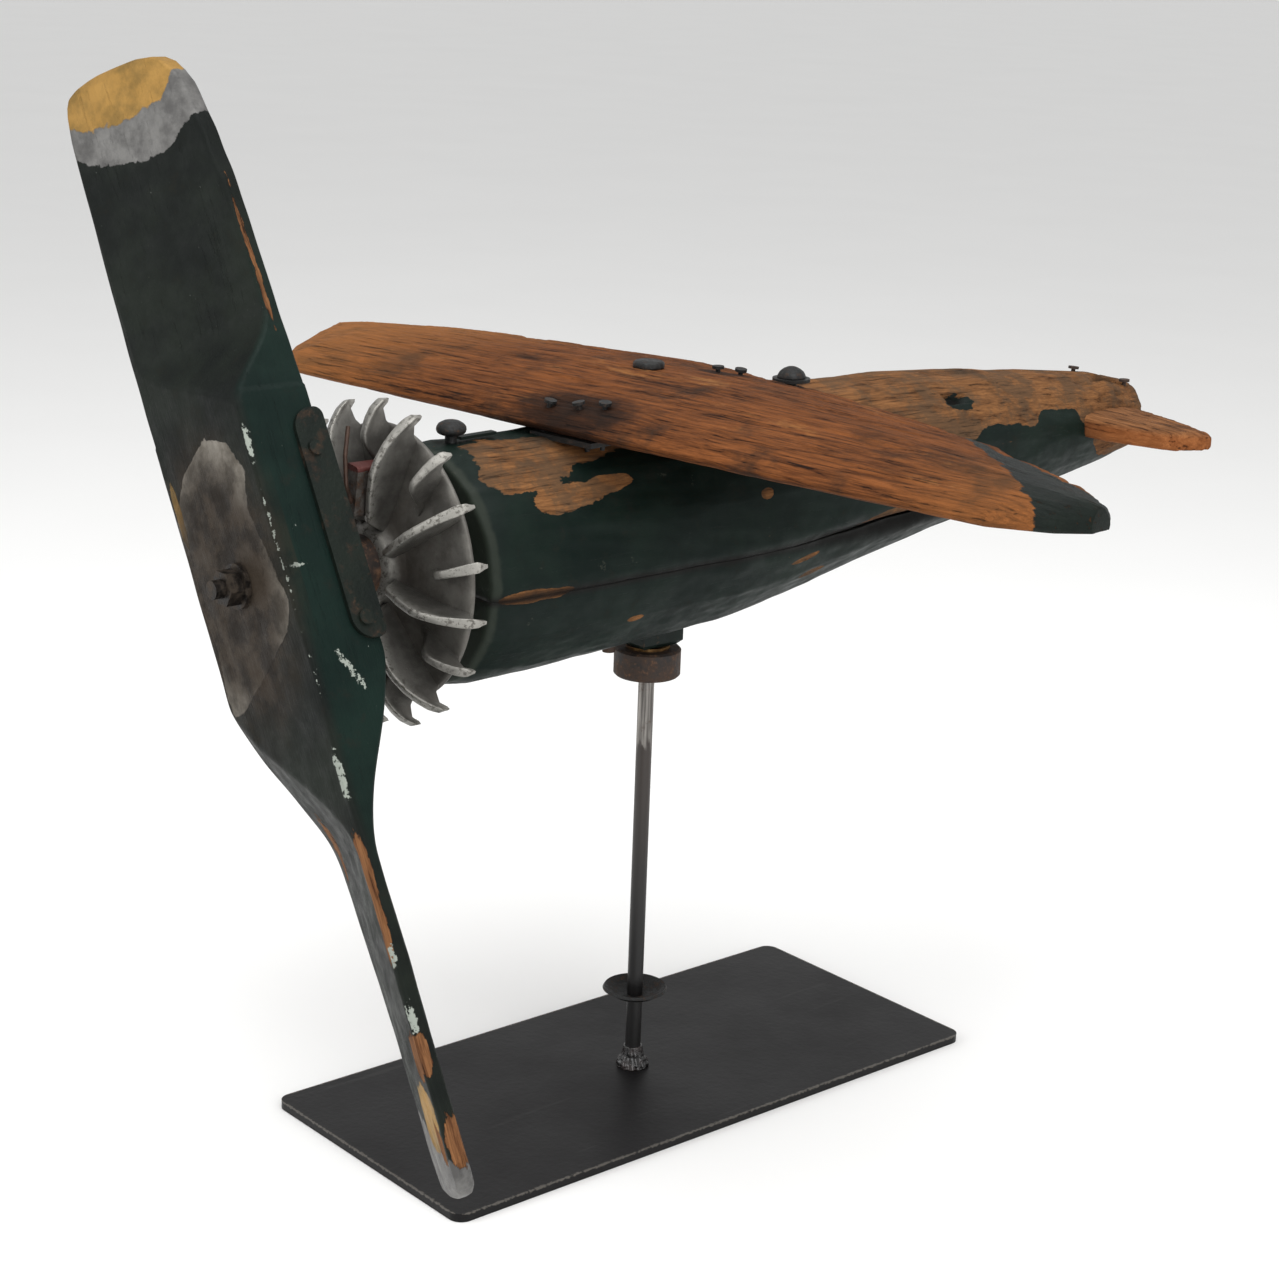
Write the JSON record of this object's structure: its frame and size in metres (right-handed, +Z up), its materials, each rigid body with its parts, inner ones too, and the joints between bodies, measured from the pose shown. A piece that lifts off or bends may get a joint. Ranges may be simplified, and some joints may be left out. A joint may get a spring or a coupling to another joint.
{
  "type": "whirligig aeroplane on a stand",
  "caption": "Carved wooden whirligig aeroplane on a flat steel stand: the body turns on its post, and the propeller spins on a nose axle with a finned flywheel.",
  "frame": {"origin": "on the post's axis, at the underside of the base plate", "axes": "+Z up along the post; -Y towards the aeroplane's nose and +Y towards its tail, along the propeller's axle; +X towards its port wing"},
  "size_m": [0.6242, 0.7077, 0.6069],
  "materials": {
    "black_steel": "satin black enamel, worn to bright steel along the edges",
    "rod_steel": "drawn steel bar, dull, with faint lengthwise streaks, painted black lower down",
    "rusty_steel": "steel fastener with dry dark brown rust",
    "bronze": "dull oiled bronze",
    "green_wood": "carved wood under weathered near-black green oil paint, chipped to bare wood",
    "bare_wood": "weathered bare brown wood with deep open grain",
    "cast_aluminium": "dull cast aluminium with grime and rubbed edges",
    "dark_iron": "rusty brown cast iron",
    "green_steel": "steel strap under old grey-green paint",
    "axle_steel": "greased steel, dark brown film",
    "magnet_iron": "dark iron blocks with a trace of red paint on top"
  },
  "bodies": {
    "stand": {"base_plate": "black_steel", "post_rod": "rod_steel", "post_weld_bead": "black_steel", "post_disc": "rusty_steel", "collar_set_screw": "rusty_steel", "pivot_collar": "rusty_steel", "thrust_washer": "bronze"},
    "airframe": {"fuselage_upper": "green_wood", "fuselage_lower": "green_wood", "belly_boss": "green_wood", "pivot_tube": "axle_steel", "front_bush": "bronze", "rear_bush": "bronze", "nose_bolt": "rusty_steel", "nose_nail": "green_steel", "belly_screw": "rusty_steel", "wing_front_bolt": "rusty_steel", "wing_rear_bolt": "rusty_steel", "wing_rear_washer": "rusty_steel", "wing_nails": "rusty_steel", "tail_nails": "rusty_steel", "wing_shim": "bare_wood", "wing": "bare_wood", "tailplane": "bare_wood"},
    "rotor": {"axle": "axle_steel", "axle_nut": "axle_steel", "axle_washer": "axle_steel", "axle_spacer": "axle_steel", "axle_collar": "axle_steel", "axle_cotter": "axle_steel", "strap_screws": "rusty_steel", "propeller_strap": "green_steel", "propeller": "green_wood", "iron_hub": "dark_iron", "magnet": "magnet_iron", "fan_wheel": "cast_aluminium", "magnet_lead": "rusty_steel"}
  },
  "joints": [
    {"name": "vane_yaw", "type": "hinge", "parent": "stand", "child": "airframe", "pos_m": [0, 0, 0.3], "axis": [0, 0, 1], "continuous": true},
    {"name": "propeller_spin", "type": "hinge", "parent": "airframe", "child": "rotor", "pos_m": [0, -0.2, 0.35], "axis": [0, 1, 0], "continuous": true}
  ]
}
